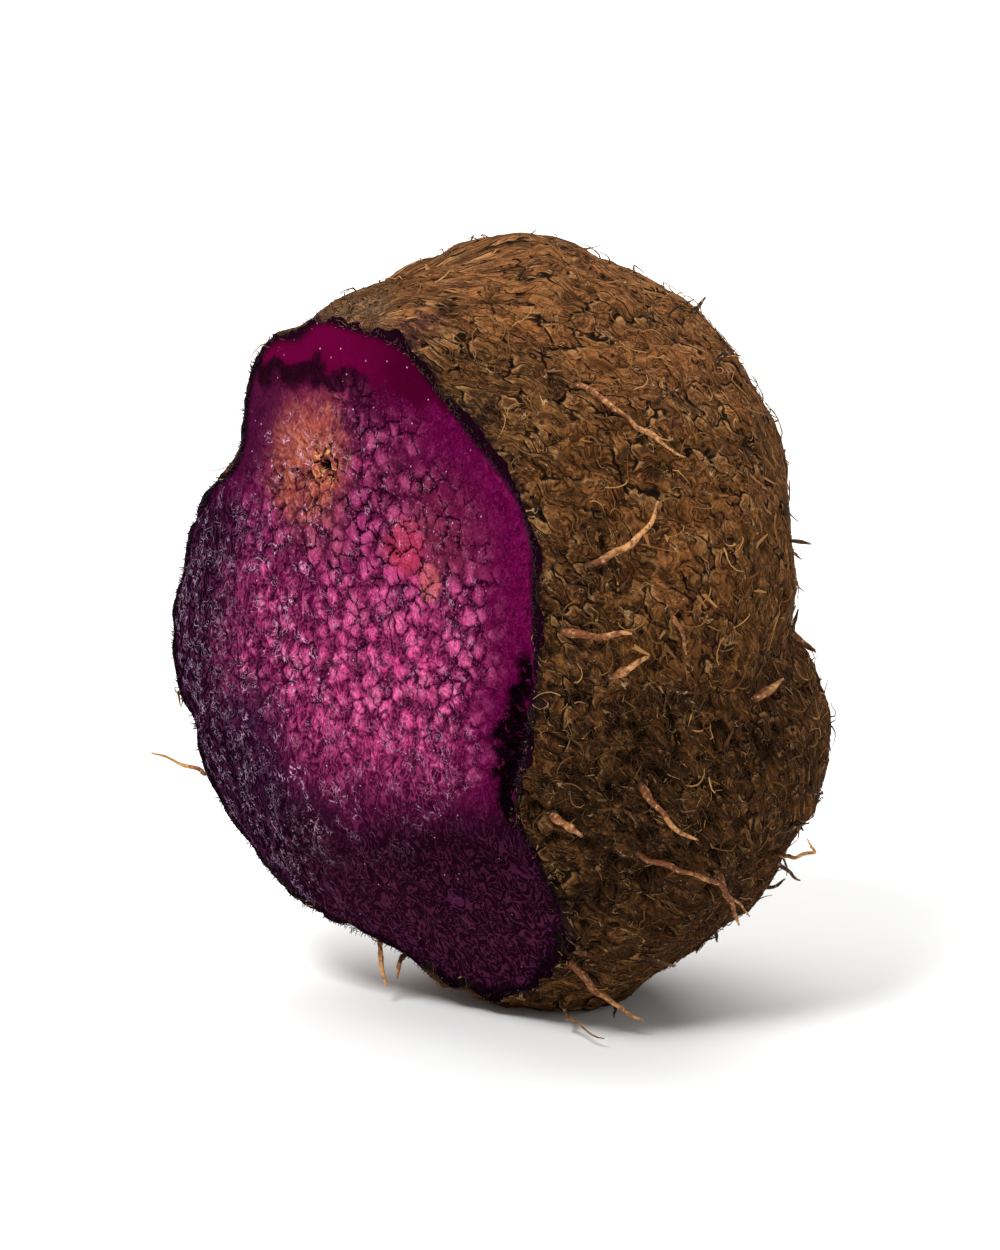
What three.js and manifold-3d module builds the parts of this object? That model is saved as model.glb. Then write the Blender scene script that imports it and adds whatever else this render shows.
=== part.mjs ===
// A cut purple yam: one end of a rounded tuber with a second, smaller swelling low on its right,
// its rough brown bark studded with stiff rootlets, and one side sliced off to bare the purple
// flesh. The slice is one broad cut with four narrower ones round it, so the flesh is a low
// dome of five facets.
//
// The yam grew as one piece, so it is one solid. It is drawn by radii: from a point in its heart
// each direction has one distance to the bark. The same is done for the knife cuts, and the yam
// is what the two shapes share. The rootlets are then fused on.
//
// Millimetres. +Z is up, +X is to the right of someone who faces the cut side of the yam, and +Y
// points away from them. The origin is the middle of the small flat spot that the yam rests on.

import * as THREE from "three";
import { mergeVertices } from "three/addons/utils/BufferGeometryUtils.js";
import Module from "manifold-3d";

const wasm = await Module();
wasm.setup();

// ---------------------------------------------------------------------------
// Driving dimensions
// ---------------------------------------------------------------------------

// All radii start here.
const HEART = new THREE.Vector3(0, -5, 68);

// The swellings that make up the body: each is an ellipsoid round the heart.
const LOBES = [
  { name: "crown", centre: [-8, 7, 92.5], half: [52.5, 46, 50.5] },
  { name: "front", centre: [3, -12, 82], half: [42, 40, 45] },
  { name: "left shoulder", centre: [-24, 1, 66], half: [58, 48, 52] },
  { name: "low right lobe", centre: [17, -7, 52], half: [36, 37, 28.5] },
  { name: "base", centre: [-1, 1, 50], half: [44.5, 46, 52.5] },
];
// How sharply one swelling passes into the next. A higher power leaves deeper creases.
const LOBE_SHARPNESS = 20;

// Local hollows (negative) and bumps (positive) of the bark: where, how wide and how high.
const DENTS = [
  { name: "hollow by the rim", at: [9, -49, 106], reach: 14, height: -2.2 },
  { name: "dip over the top edge", at: [-20, -30, 127], reach: 9, height: -2 },
  { name: "shoulder ridge", at: [22, -39, 122], reach: 22, height: 1.5 },
  { name: "right flank", at: [44, -9, 76], reach: 12, height: 1.5 },
  { name: "heel of the low lobe", at: [36, -8, 22], reach: 12, height: 3 },
  { name: "swelling by the rim", at: [-4, -50, 44], reach: 17, height: 3 },
  { name: "lip of the lower cut", at: [4, -36, 20], reach: 13, height: 2.5 },
  { name: "nick in the left edge", at: [-70, 23, 47], reach: 6, height: -4 },
  { name: "lip of the groove", at: [2, -53, 62], reach: 14, height: 4.5 },
  { name: "corner of the top edge", at: [-55, 8, 121], reach: 9, height: 3 },
  { name: "waist of the left edge", at: [-64, 14, 103], reach: 12, height: -4.2 },
];

// The bark's unevenness: waves that cross one another, each with a length and a height.
const LUMPS = [
  { length: 46, height: 1.5, turn: 0.7 },
  { length: 27, height: 0.9, turn: 2.1 },
  { length: 15, height: 0.55, turn: 4.4 },
];

// The knife cuts. Each faces a direction given by its turn to the right of facing the viewer and
// its lift, both in degrees, and goes through a point.
const CUTS = [
  { name: "broad cut", turn: -46, lift: 4, through: [-32, -22, 80] },
  { name: "left edge", turn: -68, lift: 9, through: [-65, 9, 68] },
  { name: "lower left edge", turn: -64, lift: -20, through: [-63, 9, 44] },
  { name: "lower cut", turn: -35, lift: -31, through: [-34, -19, 28] },
  { name: "top edge", turn: -62, lift: 32, through: [-47, -10.5, 121.5] },
];
// Width over which one cut rolls into the next.
const CUT_BLEND = 3;

// The rootlets that stand out most, one by one. Each station is a direction from the heart and a
// height over the bark there: turn to the right of facing the viewer, lift, rise.
const ROOTLETS = [
  { name: "curved", thick: 1.7, path: [[10, 64, 0], [18, 60, 1.5], [26, 52, 3.5], [34, 45, 4.5]] },
  { name: "hooked", thick: 2, path: [[8, 29, 0], [15, 31, 2.5], [21, 34, 4], [26, 39, 3]] },
  { name: "long stub", thick: 1.8, path: [[0, 16, 0], [8, 15, 2.5], [15, 15, 5]] },
  { name: "hanging", thick: 1.5, path: [[26, 19, 0], [26, 15, 2.5], [28, 10, 3]] },
  { name: "short stub", thick: 1.8, path: [[13, 6, 0], [16, 8, 2.5], [19, 10, 4]] },
  { name: "lobe stub", thick: 1.7, path: [[50, -3, 0], [52, -1, 2.5], [57, 0, 4]] },
  { name: "crease twig", thick: 1.7, path: [[81, 5, 0], [83, 2, 2], [79, 1, 3.5]] },
  { name: "crown twig", thick: 1.3, path: [[91, 71, 0], [90, 70, 3], [91, 68, 5]] },
  { name: "shoulder twig", thick: 1.3, path: [[86, 61, 0], [84, 60, 3], [84, 58, 4]] },
  { name: "splayed", thick: 2, path: [[22, -21, 0], [25, -24, 2], [28, -27, 4], [33, -29, 5.5]] },
  { name: "creeping", thick: 1.7, path: [[24, -39, 0], [32, -39, 2], [40, -39, 3.5], [60, -47, 6]] },
  { name: "crossing", thick: 1.7, path: [[48, -41, 0], [50, -44, 3], [61, -50, 5]] },
  { name: "barb", thick: 1.2, path: [[70, -38, 0], [70, -38, 2], [72, -41, 4]] },
  { name: "hook", thick: 1.2, path: [[71, -39, 0], [65, -35, 5], [62, -31, 8], [54, -26, 10]] },
  { name: "long low", thick: 1.9, path: [[4, -59, 0], [18, -64, 3.5], [25, -65, 5], [33, -64, 9]] },
  { name: "trailing", thick: 1.5, path: [[6, -74, 0], [7, -71, 5], [10, -67, 9], [15, -62, 14]] },
  { name: "low stub", thick: 1.7, path: [[42, -75, 0], [37, -73, 3.5], [32, -71, 6]] },
  { name: "pink stub", thick: 1.9, path: [[0, -25, 0], [3, -26, 2.5], [7, -28, 4]] },
  { name: "left drooper", thick: 1.9, path: [[-92, -60, 0], [-88, -61, 2.5], [-84, -64, 7]] },
  { name: "right drooper", thick: 1.7, path: [[-92, -65, 0], [-88, -65, 2], [-85, -65, 5]] },
  { name: "whisker", thick: 1.3, path: [[-112, -23, 0], [-115, -21, 6], [-112, -18, 11.5]] },
];
// The short stubs strewn over the rest of the bark, drawn at random from one seed.
const STUBS = {
  seed: 7, count: 44, length: [3.5, 7.5], thick: [1.1, 1.7], lean: [35, 70],
  fromCut: 4, fromTable: 12,
};
// How deep every rootlet is sunk.
const ROOT_DEPTH = 3;

// The table's top is at 0. What the yam keeps is inside a box of this size that stands on it.
const ROOM = 400;

// Squares along each side of the cube that is blown up into the body and the cut shape.
const BODY_SQUARES = 26;
const CUT_SQUARES = 14;
// Flat sides round each tube, and steps along it.
const ROOTLET_SIDES = 5;
const ROOTLET_STEPS = 5;
const STUB_SIDES = 4;
const STUB_STEPS = 3;

// ---------------------------------------------------------------------------
// Body and cuts as radii from the heart
// ---------------------------------------------------------------------------

// Distance along a ray from the heart to the far side of an ellipsoid that holds the heart.
function lobeExit(direction, { centre, half }) {
  const start = HEART.toArray().map((h, i) => (h - centre[i]) / half[i]);
  const step = direction.toArray().map((d, i) => d / half[i]);
  const dot = (a, b) => a[0] * b[0] + a[1] * b[1] + a[2] * b[2];
  const across = dot(start, step);
  const square = dot(step, step);
  return (-across + Math.sqrt(across * across - square * (dot(start, start) - 1))) / square;
}

// Height of the waves at a point, the sum of sines along two slanting directions.
function lumpHeight(p) {
  let height = 0;
  for (const { length, height: high, turn } of LUMPS) {
    const k = (2 * Math.PI) / length;
    height += (high / 2) * (
      Math.sin(k * (0.8 * p.x + 0.6 * p.y) + turn + Math.sin(k * 0.7 * p.z)) +
      Math.sin(k * (0.7 * p.z - 0.5 * p.y + 0.5 * p.x) + 2 * turn + Math.sin(k * 0.6 * p.x))
    );
  }
  return height;
}

function barkRadius(direction) {
  const sum = LOBES.reduce((s, lobe) => s + lobeExit(direction, lobe) ** LOBE_SHARPNESS, 0);
  const smooth = sum ** (1 / LOBE_SHARPNESS);
  const p = direction.clone().multiplyScalar(smooth).add(HEART);
  const dents = DENTS.reduce((s, { at, reach, height }) => {
    const away = p.distanceToSquared(new THREE.Vector3(...at));
    return s + height * Math.exp(-away / (reach * reach));
  }, 0);
  return smooth + dents + lumpHeight(p);
}

// A direction: turned to the right of facing the viewer, then lifted, both in degrees.
function directionOf(turn, lift) {
  const [across, up] = [turn, lift].map(THREE.MathUtils.degToRad);
  return new THREE.Vector3(
    Math.sin(across) * Math.cos(up), -Math.cos(across) * Math.cos(up), Math.sin(up));
}

// A cut's plane, as its outward normal and its distance from the heart.
const cutPlanes = CUTS.map(({ turn, lift, through }) => {
  const normal = directionOf(turn, lift);
  return { normal, distance: new THREE.Vector3(...through).sub(HEART).dot(normal) };
});

// How far a point lies outside the rounded meeting of the cuts. Negative is inside.
function outsideCuts(p) {
  const from = p.clone().sub(HEART);
  const past = cutPlanes.map(({ normal, distance }) => from.dot(normal) - distance);
  const most = Math.max(...past);
  return most + CUT_BLEND * Math.log(past.reduce((s, d) => s + Math.exp((d - most) / CUT_BLEND), 0));
}

// Distance from the heart to the cut surface, found by halving. Where no cut is met before FAR,
// which lies outside the bark on every side, it stays at FAR.
const FAR = 130;
const HALVINGS = 24;

function cutRadius(direction) {
  let [near, far] = [0, FAR];
  if (outsideCuts(direction.clone().multiplyScalar(FAR).add(HEART)) < 0) return FAR;
  for (let i = 0; i < HALVINGS; i++) {
    const middle = (near + far) / 2;
    if (outsideCuts(direction.clone().multiplyScalar(middle).add(HEART)) < 0) near = middle;
    else far = middle;
  }
  return near;
}

// ---------------------------------------------------------------------------
// Solids
// ---------------------------------------------------------------------------

function solidFrom(geometry) {
  const bare = geometry.clone();
  bare.deleteAttribute("normal");
  bare.deleteAttribute("uv");
  const merged = mergeVertices(bare, 1e-4);
  return new wasm.Manifold(new wasm.Mesh({
    numProp: 3,
    vertProperties: merged.attributes.position.array,
    triVerts: new Uint32Array(merged.index.array),
  })).asOriginal();
}

// A cube of even squares blown up until each corner lies at its own radius from the heart.
function blownCube(squares, radiusOf) {
  const geometry = new THREE.BoxGeometry(2, 2, 2, squares, squares, squares);
  const position = geometry.attributes.position;
  const corner = new THREE.Vector3();
  for (let i = 0; i < position.count; i++) {
    corner.fromBufferAttribute(position, i);
    corner.fromArray(corner.toArray().map((c) => Math.tan((c * Math.PI) / 4))).normalize();
    corner.multiplyScalar(radiusOf(corner)).add(HEART);
    position.setXYZ(i, corner.x, corner.y, corner.z);
  }
  return solidFrom(geometry);
}

// A point over the bark: a direction given by turn and lift, and the rise over the bark there.
function overBark(turn, lift, rise) {
  const direction = directionOf(turn, lift);
  return direction.clone().multiplyScalar(barkRadius(direction) + rise).add(HEART);
}

// A tube of flat sides along a smooth curve through the stations.
function tube(stations, thick, sides, steps) {
  const corners = Array.from({ length: sides }, (_, i) => {
    const angle = (2 * Math.PI * i) / sides;
    return new THREE.Vector2(Math.cos(angle), Math.sin(angle)).multiplyScalar(thick / 2);
  });
  const extrudePath = new THREE.CatmullRomCurve3(stations);
  return solidFrom(new THREE.ExtrudeGeometry(new THREE.Shape(corners), { steps, extrudePath }));
}

// Even draws between 0 and 1 that are the same on every run.
function drawsFrom(seed) {
  let state = seed;
  return () => {
    state = (state * 1664525 + 1013904223) % 4294967296;
    return state / 4294967296;
  };
}

function rootlet({ path, thick }) {
  const [turn, lift] = path[0];
  const stations = [overBark(turn, lift, -ROOT_DEPTH), ...path.map((at) => overBark(...at))];
  return tube(stations, thick, ROOTLET_SIDES, ROOTLET_STEPS);
}

// Stubs with their feet spread evenly over the sphere of directions, each leaning some way along
// the bark. Those too near the cut or the table are left out.
function strewnStubs({ seed, count, length, thick, lean, fromCut, fromTable }) {
  const draw = drawsFrom(seed);
  const between = ([low, high]) => THREE.MathUtils.lerp(low, high, draw());
  const stubs = [];
  while (stubs.length < count) {
    const turn = between([-180, 180]);
    const lift = THREE.MathUtils.radToDeg(Math.asin(between([-1, 1])));
    const [long, wide] = [length, thick].map(between);
    const slant = THREE.MathUtils.degToRad(between(lean));
    const out = directionOf(turn, lift);
    const along = directionOf(turn + 90, between([-80, 80])).projectOnPlane(out).normalize();
    const foot = overBark(turn, lift, 0);
    if (cutRadius(out) < barkRadius(out) + fromCut || foot.z < fromTable) continue;
    const sunk = overBark(turn, lift, -ROOT_DEPTH);
    const tip = foot.clone().addScaledVector(out, long * Math.cos(slant))
      .addScaledVector(along, long * Math.sin(slant));
    stubs.push(tube([sunk, foot, tip], wide, STUB_SIDES, STUB_STEPS));
  }
  return stubs;
}

const body = blownCube(BODY_SQUARES, barkRadius);
const cuts = blownCube(CUT_SQUARES, cutRadius);
const aboveTable = solidFrom(new THREE.BoxGeometry(ROOM, ROOM, ROOM).translate(0, 0, ROOM / 2));
const rootlets = [...ROOTLETS.map(rootlet), ...strewnStubs(STUBS)];
const yam = wasm.Manifold.union([body.intersect(cuts), ...rootlets]).intersect(aboveTable);

// ---------------------------------------------------------------------------
// The part
// ---------------------------------------------------------------------------

// The faces that the knife left carry the flesh's material, and all others the bark's.
function geometryFrom(solid) {
  const { vertProperties, triVerts, runIndex, runOriginalID } = solid.getMesh();
  const geometry = new THREE.BufferGeometry();
  geometry.setAttribute("position", new THREE.BufferAttribute(vertProperties, 3));
  geometry.setIndex(new THREE.BufferAttribute(triVerts, 1));
  runOriginalID.forEach((id, run) => {
    const material = id === cuts.originalID() ? 1 : 0;
    geometry.addGroup(runIndex[run], runIndex[run + 1] - runIndex[run], material);
  });
  geometry.computeVertexNormals();
  return geometry;
}

const bark = new THREE.MeshStandardMaterial({ color: 0x5d3b1f, roughness: 0.95, metalness: 0 });
const flesh = new THREE.MeshStandardMaterial({ color: 0x8e245a, roughness: 0.45, metalness: 0 });

const part = new THREE.Group();
const tuber = new THREE.Mesh(geometryFrom(yam), [bark, flesh]);
tuber.name = "tuber";
part.add(tuber);

export default part;
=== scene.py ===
"""A cut purple yam: one end of a rounded tuber whose side is sliced off to bare the flesh.

The bark and the flesh are one closed piece, drawn by the same rule as the solid that it stands
for: from a point in the yam's heart every direction has one distance to the bark, and the knife's
cuts are planes that roll into one another. The mesh is fine enough to hold the cracks of the bark
and the granules of the flesh. The felt of root hairs, the wisps, the fringe round the cut and the
stiff rootlets are pieces of their own that grow out of the bark.

Shapes are in millimetres until they become a mesh, which is in metres. +Z is up, +X is to the
right of someone who faces the cut, and +Y points away from them.
"""

import math
import random
from itertools import islice

import bmesh
import bpy
from mathutils import Matrix, Quaternion, Vector, noise


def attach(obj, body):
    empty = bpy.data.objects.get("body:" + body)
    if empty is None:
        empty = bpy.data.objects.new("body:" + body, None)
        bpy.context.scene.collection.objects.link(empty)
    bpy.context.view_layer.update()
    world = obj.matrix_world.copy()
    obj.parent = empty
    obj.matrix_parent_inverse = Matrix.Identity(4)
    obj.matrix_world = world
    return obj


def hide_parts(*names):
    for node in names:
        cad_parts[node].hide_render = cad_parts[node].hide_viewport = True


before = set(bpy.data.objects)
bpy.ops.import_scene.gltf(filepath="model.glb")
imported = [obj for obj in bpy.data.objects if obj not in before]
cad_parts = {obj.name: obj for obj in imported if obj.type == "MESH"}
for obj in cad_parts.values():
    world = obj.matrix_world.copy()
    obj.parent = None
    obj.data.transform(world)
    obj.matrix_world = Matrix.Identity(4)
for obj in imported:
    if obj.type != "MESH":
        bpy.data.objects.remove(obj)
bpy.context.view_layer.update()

MM = 0.001
UP = Vector((0, 0, 1))

# ---- The yam's form, in millimetres ----

# All radii start here.
HEART = Vector((0, -5, 68))

# The swellings that make up the body, each an ellipsoid round the heart: name, middle, half sizes.
LOBES = [
    ("crown", (-8, 7, 92.5), (52.5, 46, 50.5)),
    ("front", (3, -12, 82), (42, 40, 45)),
    ("left shoulder", (-24, 1, 66), (58, 48, 52)),
    ("low right lobe", (17, -7, 52), (36, 37, 28.5)),
    ("base", (-1, 1, 50), (44.5, 46, 52.5)),
]
LOBE_SHARPNESS = 20

# Local hollows (negative) and bumps (positive) of the bark: name, place, reach and height.
DENTS = [
    ("hollow by the rim", (9, -49, 106), 14, -2.2),
    ("dip over the top edge", (-20, -30, 127), 9, -2),
    ("shoulder ridge", (22, -39, 122), 22, 1.5),
    ("right flank", (44, -9, 76), 12, 1.5),
    ("heel of the low lobe", (36, -8, 22), 12, 3),
    ("swelling by the rim", (-4, -50, 44), 17, 3),
    ("lip of the lower cut", (4, -36, 20), 13, 2.5),
    ("nick in the left edge", (-70, 23, 47), 6, -4),
    ("lip of the groove", (2, -53, 62), 14, 4.5),
    ("corner of the top edge", (-55, 8, 121), 9, 3),
    ("waist of the left edge", (-64, 14, 103), 12, -4.2),
]

# The bark's unevenness: waves that cross one another, each with its length, height and turn.
LUMPS = [
    (46, 1.5, 0.7),
    (27, 0.9, 2.1),
    (15, 0.55, 4.4),
]

# The knife cuts: name, turn and lift of the way each faces, and a point on it. The first is broad.
CUTS = [
    ("broad cut", -46, 4, (-32, -22, 80)),
    ("left edge", -68, 9, (-65, 9, 68)),
    ("lower left edge", -64, -20, (-63, 9, 44)),
    ("lower cut", -35, -31, (-34, -19, 28)),
    ("top edge", -62, 32, (-47, -10.5, 121.5)),
]
CUT_BLEND = 3

# The stiff rootlets: name, thickness and path. A station on the path is a turn and a lift, which
# give a direction from the heart, and a height over the bark there.
ROOTLETS = [
    ("curved", 1.7, [(10, 64, 0), (18, 60, 1.5), (26, 52, 3.5), (34, 45, 4.5)]),
    ("hooked", 2, [(8, 29, 0), (15, 31, 2.5), (21, 34, 4), (26, 39, 3)]),
    ("long stub", 1.8, [(0, 16, 0), (8, 15, 2.5), (15, 15, 5)]),
    ("hanging", 1.5, [(26, 19, 0), (26, 15, 2.5), (28, 10, 3)]),
    ("short stub", 1.8, [(13, 6, 0), (16, 8, 2.5), (19, 10, 4)]),
    ("lobe stub", 1.7, [(50, -3, 0), (52, -1, 2.5), (57, 0, 4)]),
    ("crease twig", 1.7, [(81, 5, 0), (83, 2, 2), (79, 1, 3.5)]),
    ("crown twig", 1.3, [(91, 71, 0), (90, 70, 3), (91, 68, 5)]),
    ("shoulder twig", 1.3, [(86, 61, 0), (84, 60, 3), (84, 58, 4)]),
    ("splayed", 2, [(22, -21, 0), (25, -24, 2), (28, -27, 4), (33, -29, 5.5)]),
    ("creeping", 1.7, [(24, -39, 0), (32, -39, 2), (40, -39, 3.5), (60, -47, 6)]),
    ("crossing", 1.7, [(48, -41, 0), (50, -44, 3), (61, -50, 5)]),
    ("barb", 1.2, [(70, -38, 0), (70, -38, 2), (72, -41, 4)]),
    ("hook", 1.2, [(71, -39, 0), (65, -35, 5), (62, -31, 8), (54, -26, 10)]),
    ("long low", 1.9, [(4, -59, 0), (18, -64, 3.5), (25, -65, 5), (33, -64, 9)]),
    ("trailing", 1.5, [(6, -74, 0), (7, -71, 5), (10, -67, 9), (15, -62, 14)]),
    ("low stub", 1.7, [(42, -75, 0), (37, -73, 3.5), (32, -71, 6)]),
    ("pink stub", 1.9, [(0, -25, 0), (3, -26, 2.5), (7, -28, 4)]),
    ("left drooper", 1.9, [(-92, -60, 0), (-88, -61, 2.5), (-84, -64, 7)]),
    ("right drooper", 1.7, [(-92, -65, 0), (-88, -65, 2), (-85, -65, 5)]),
    ("whisker", 1.3, [(-112, -23, 0), (-115, -21, 6), (-112, -18, 11.5)]),
]
# The short stubs strewn over the rest of the bark.
STUBS = {
    "seed": 7, "count": 44, "length": (3.5, 7.5), "thick": (1.1, 1.7), "lean": (35, 70),
    "from_cut": 4, "from_table": 12,
}
ROOT_DEPTH = 3


def direction_of(turn, lift):
    """A direction: turned to the right of facing the viewer, then lifted, both in degrees."""
    across, rise = math.radians(turn), math.radians(lift)
    return Vector((math.sin(across) * math.cos(rise), -math.cos(across) * math.cos(rise), math.sin(rise)))


def smooth_step(low, high, value):
    """0 below low, 1 above high, and a smooth climb between. low may be the larger one."""
    share = min(1, max(0, (value - low) / (high - low)))
    return share * share * (3 - 2 * share)


def hump(value, middle, half_width):
    """A bell that is 1 at the middle."""
    return math.exp(-(((value - middle) / half_width) ** 2))


LOBE_STARTS = [Vector((h - c) / r for h, c, r in zip(HEART, centre, half)) for _, centre, half in LOBES]
DENT_PLACES = [Vector(at) for _, at, _, _ in DENTS]


def lobe_exit(direction, half, start):
    """Distance along a ray from the heart to the far side of a lobe."""
    step = Vector(d / r for d, r in zip(direction, half))
    across, square = start.dot(step), step.dot(step)
    return (-across + math.sqrt(across * across - square * (start.dot(start) - 1))) / square


def lump_height(p):
    """Height of the bark's slow waves at a point."""
    total = 0
    for length, height, turn in LUMPS:
        k = 2 * math.pi / length
        total += height / 2 * (
            math.sin(k * (0.8 * p.x + 0.6 * p.y) + turn + math.sin(k * 0.7 * p.z))
            + math.sin(k * (0.7 * p.z - 0.5 * p.y + 0.5 * p.x) + 2 * turn + math.sin(k * 0.6 * p.x))
        )
    return total


def bark_radius(direction):
    """Distance from the heart to the bark, without its fine relief."""
    exits = [lobe_exit(direction, half, start) for (_, _, half), start in zip(LOBES, LOBE_STARTS)]
    smooth = sum(far**LOBE_SHARPNESS for far in exits) ** (1 / LOBE_SHARPNESS)
    p = HEART + direction * smooth
    dents = sum(
        height * math.exp(-(p - place).length_squared / reach**2)
        for (_, _, reach, height), place in zip(DENTS, DENT_PLACES)
    )
    return smooth + dents + lump_height(p)


CUT_NORMALS = [direction_of(turn, lift) for _, turn, lift, _ in CUTS]
CUT_DISTANCES = [(Vector(through) - HEART).dot(normal) for (*_, through), normal in zip(CUTS, CUT_NORMALS)]

# The broad cut's own axes: out of the flesh, along it to the right, and along it upwards.
FACE_OUT = CUT_NORMALS[0]
FACE_RIGHT = UP.cross(FACE_OUT).normalized()
FACE_UP = FACE_OUT.cross(FACE_RIGHT)
FACE_MIDDLE = Vector((-38, -15, 74))
FACE_MIDDLE += FACE_OUT * (CUT_DISTANCES[0] - (FACE_MIDDLE - HEART).dot(FACE_OUT))


def outside_cuts(p):
    """How far a point lies outside the nearest cut. Negative is inside the yam."""
    return max((p - HEART).dot(n) - d for n, d in zip(CUT_NORMALS, CUT_DISTANCES))


def over_cut(right, up):
    """The point at a place on the broad cut."""
    return FACE_MIDDLE + FACE_RIGHT * right + FACE_UP * up


def cut_heights(right, up):
    """How high each cut lies over the broad one, at a place on the broad one."""
    arm = over_cut(right, up) - HEART
    return [(d - arm.dot(n)) / FACE_OUT.dot(n) for n, d in zip(CUT_NORMALS, CUT_DISTANCES)]


def facet_shares(heights):
    """How much each cut has to do with the surface at a place. The shares add up to 1."""
    lowest = min(heights)
    weights = [math.exp((lowest - h) / CUT_BLEND) for h in heights]
    return [weight / sum(weights) for weight in weights]


def face_height(heights):
    """The lowest of the cuts, rounded where two of them meet."""
    lowest = min(heights)
    return lowest - CUT_BLEND * math.log(sum(math.exp((lowest - h) / CUT_BLEND) for h in heights))


def face_place(p):
    """Where a point lies on the broad cut: its distance to the right and upwards."""
    return (p - FACE_MIDDLE).dot(FACE_RIGHT), (p - FACE_MIDDLE).dot(FACE_UP)


def depth_under_bark(p):
    """How deep a point lies under the smooth bark."""
    arm = p - HEART
    return bark_radius(arm.normalized()) - arm.length


# ---- Fine relief of the bark and the flesh, in millimetres ----

# The cracks and hairs run along the tuber: away from this end, over the crown and down the right.
GROWTH = Vector((-0.62, 0.1, 0.78)).normalized()
TO_GROWTH = GROWTH.to_track_quat("Z", "Y").inverted()
# Round the yam, patterns keep the size that they have at this distance from its axis.
GRAIN_GIRTH = 50
# Closer to the axis than this the pattern is left as it is, so that it doesn't pinch there.
GRAIN_HUB = 22

# How far the bark's torn edge stands up round the cut, how uneven it is, and how wide.
LIP_HEIGHT = 0.4
LIP_UNEVENNESS = 1.6
LIP_WIDTH = 5


def grain_place(p):
    """A point in the tuber's own measure: two lengths round its axis, and z along its growth."""
    arm = TO_GROWTH @ (p - HEART)
    stretch = GRAIN_GIRTH / max(math.hypot(arm.x, arm.y), GRAIN_HUB)
    return Vector((arm.x * stretch, arm.y * stretch, arm.z))


def drawn_out(grain, times):
    """Makes a pattern this many times as long as it is wide."""
    return Vector((grain.x, grain.y, grain.z / times))


def matted_share(p):
    """1 on the low lobe, where earth and hairs are matted together, and 0 on the cleaner crown."""
    return smooth_step(92, 62, p.z) * smooth_step(20, -15, p.y)


def pit_share(p):
    """1 in the bottom of a pit or an open crack of the bark and 0 off it."""
    grain = grain_place(p)
    line = 1 - smooth_step(0, 0.14, abs(noise.noise(drawn_out(grain, 3) / 5.5)))
    broken = smooth_step(0.1, 0.35, noise.noise(p / 7 + Vector((31, 7, 3))))
    pits = smooth_step(0.3, 0.5, noise.noise(p / 3.4 + Vector((5, 40, 8))))
    return max(line * broken, pits * (0.5 + 0.5 * matted_share(p)))


def bark_relief(p):
    """Height of the bark's fine relief over its smooth form."""
    matted = matted_share(p)
    swell = 0.8 * noise.noise(p / 12) + (0.35 + 0.5 * matted) * noise.noise(p / 5 + Vector((9, 9, 9)))
    felt = 0.3 * noise.noise(drawn_out(grain_place(p), 3) / 2.2) + 0.15 * noise.noise(p / 1.3)
    torn = LIP_HEIGHT + LIP_UNEVENNESS * noise.noise(p / 4.5 + Vector((3, 50, 1)))
    lip = torn * smooth_step(-LIP_WIDTH, 0, outside_cuts(p))
    return swell + felt + lip - (0.8 + 0.5 * matted) * pit_share(p)


# The flesh is granules about this wide, parted by crevices.
GRANULE = 3.5
GRANULE_DOME = 0.55
CREVICE_DEPTH = 0.5
CREVICE_WIDTH = 0.7

# A small rotten pit in the upper left of the face, as its place on the broad cut.
PIT = face_place(Vector((-42, -9, 104)))
PIT_WIDTH = 1.2
PIT_DEPTH = 2.4

# Along the right of the rim the flesh has shrunk from the bark and left a deep groove: how high its
# middle is, how far under the bark, and its size.
GROOVE = {"height": 60, "half_length": 14, "under": 2.6, "half_width": 1.7, "depth": 4.5}
# Round the whole rim a shallow dip parts the flesh from the edge of the bark.
RIM_DIP = {"under": 1.3, "half_width": 0.8, "depth": 0.4}


def graininess(shares, p, under):
    """How clearly the granules stand out: most in the upper middle, hardly at all at the edges."""
    return shares[0] * smooth_step(3, 7.5, under) * (0.25 + 0.75 * smooth_step(38, 66, p.z))


def groove_share(right, p, under):
    """1 in the bottom of the groove and 0 off it."""
    if right < 0:
        return 0
    ragged = under + 1.0 * noise.noise(p / 3.5) + 0.7 * noise.noise(p / 1.4)
    along = hump(p.z + 4 * noise.noise(p / 9), GROOVE["height"], GROOVE["half_length"])
    return along * hump(ragged, GROOVE["under"], GROOVE["half_width"] * (0.5 + 0.5 * along))


def flesh_relief(right, up, p, heights, to_crevice, from_middle):
    """Height of the flesh's fine relief over the cuts."""
    under = depth_under_bark(p)
    grain = graininess(facet_shares(heights), p, under)
    dome = 0.5 - (from_middle / GRANULE) ** 2
    crevice = 1 - smooth_step(0, CREVICE_WIDTH, to_crevice)
    from_pit = math.hypot(right - PIT[0], up - PIT[1])
    place = Vector((right, up, 0))
    gape = smooth_step(-0.2, 0.25, noise.noise(place / 6 + Vector((4, 4, 0))))
    height = grain * (GRANULE_DOME * dome - CREVICE_DEPTH * crevice * gape)
    height += 0.5 * noise.noise(place / 15) + 0.2 * noise.noise(place / 1.2)
    height -= PIT_DEPTH * hump(from_pit, 0, PIT_WIDTH)
    height -= RIM_DIP["depth"] * hump(under, RIM_DIP["under"], RIM_DIP["half_width"])
    return height - GROOVE["depth"] * groove_share(right, p, under)


# ---- Materials ----


def linear(hex_colour):
    """An sRGB hex colour as linear red, green, blue and alpha."""
    channels = [int(hex_colour[i : i + 2], 16) / 255 for i in (1, 3, 5)]
    return [c / 12.92 if c <= 0.04045 else ((c + 0.055) / 1.055) ** 2.4 for c in channels] + [1]


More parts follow.
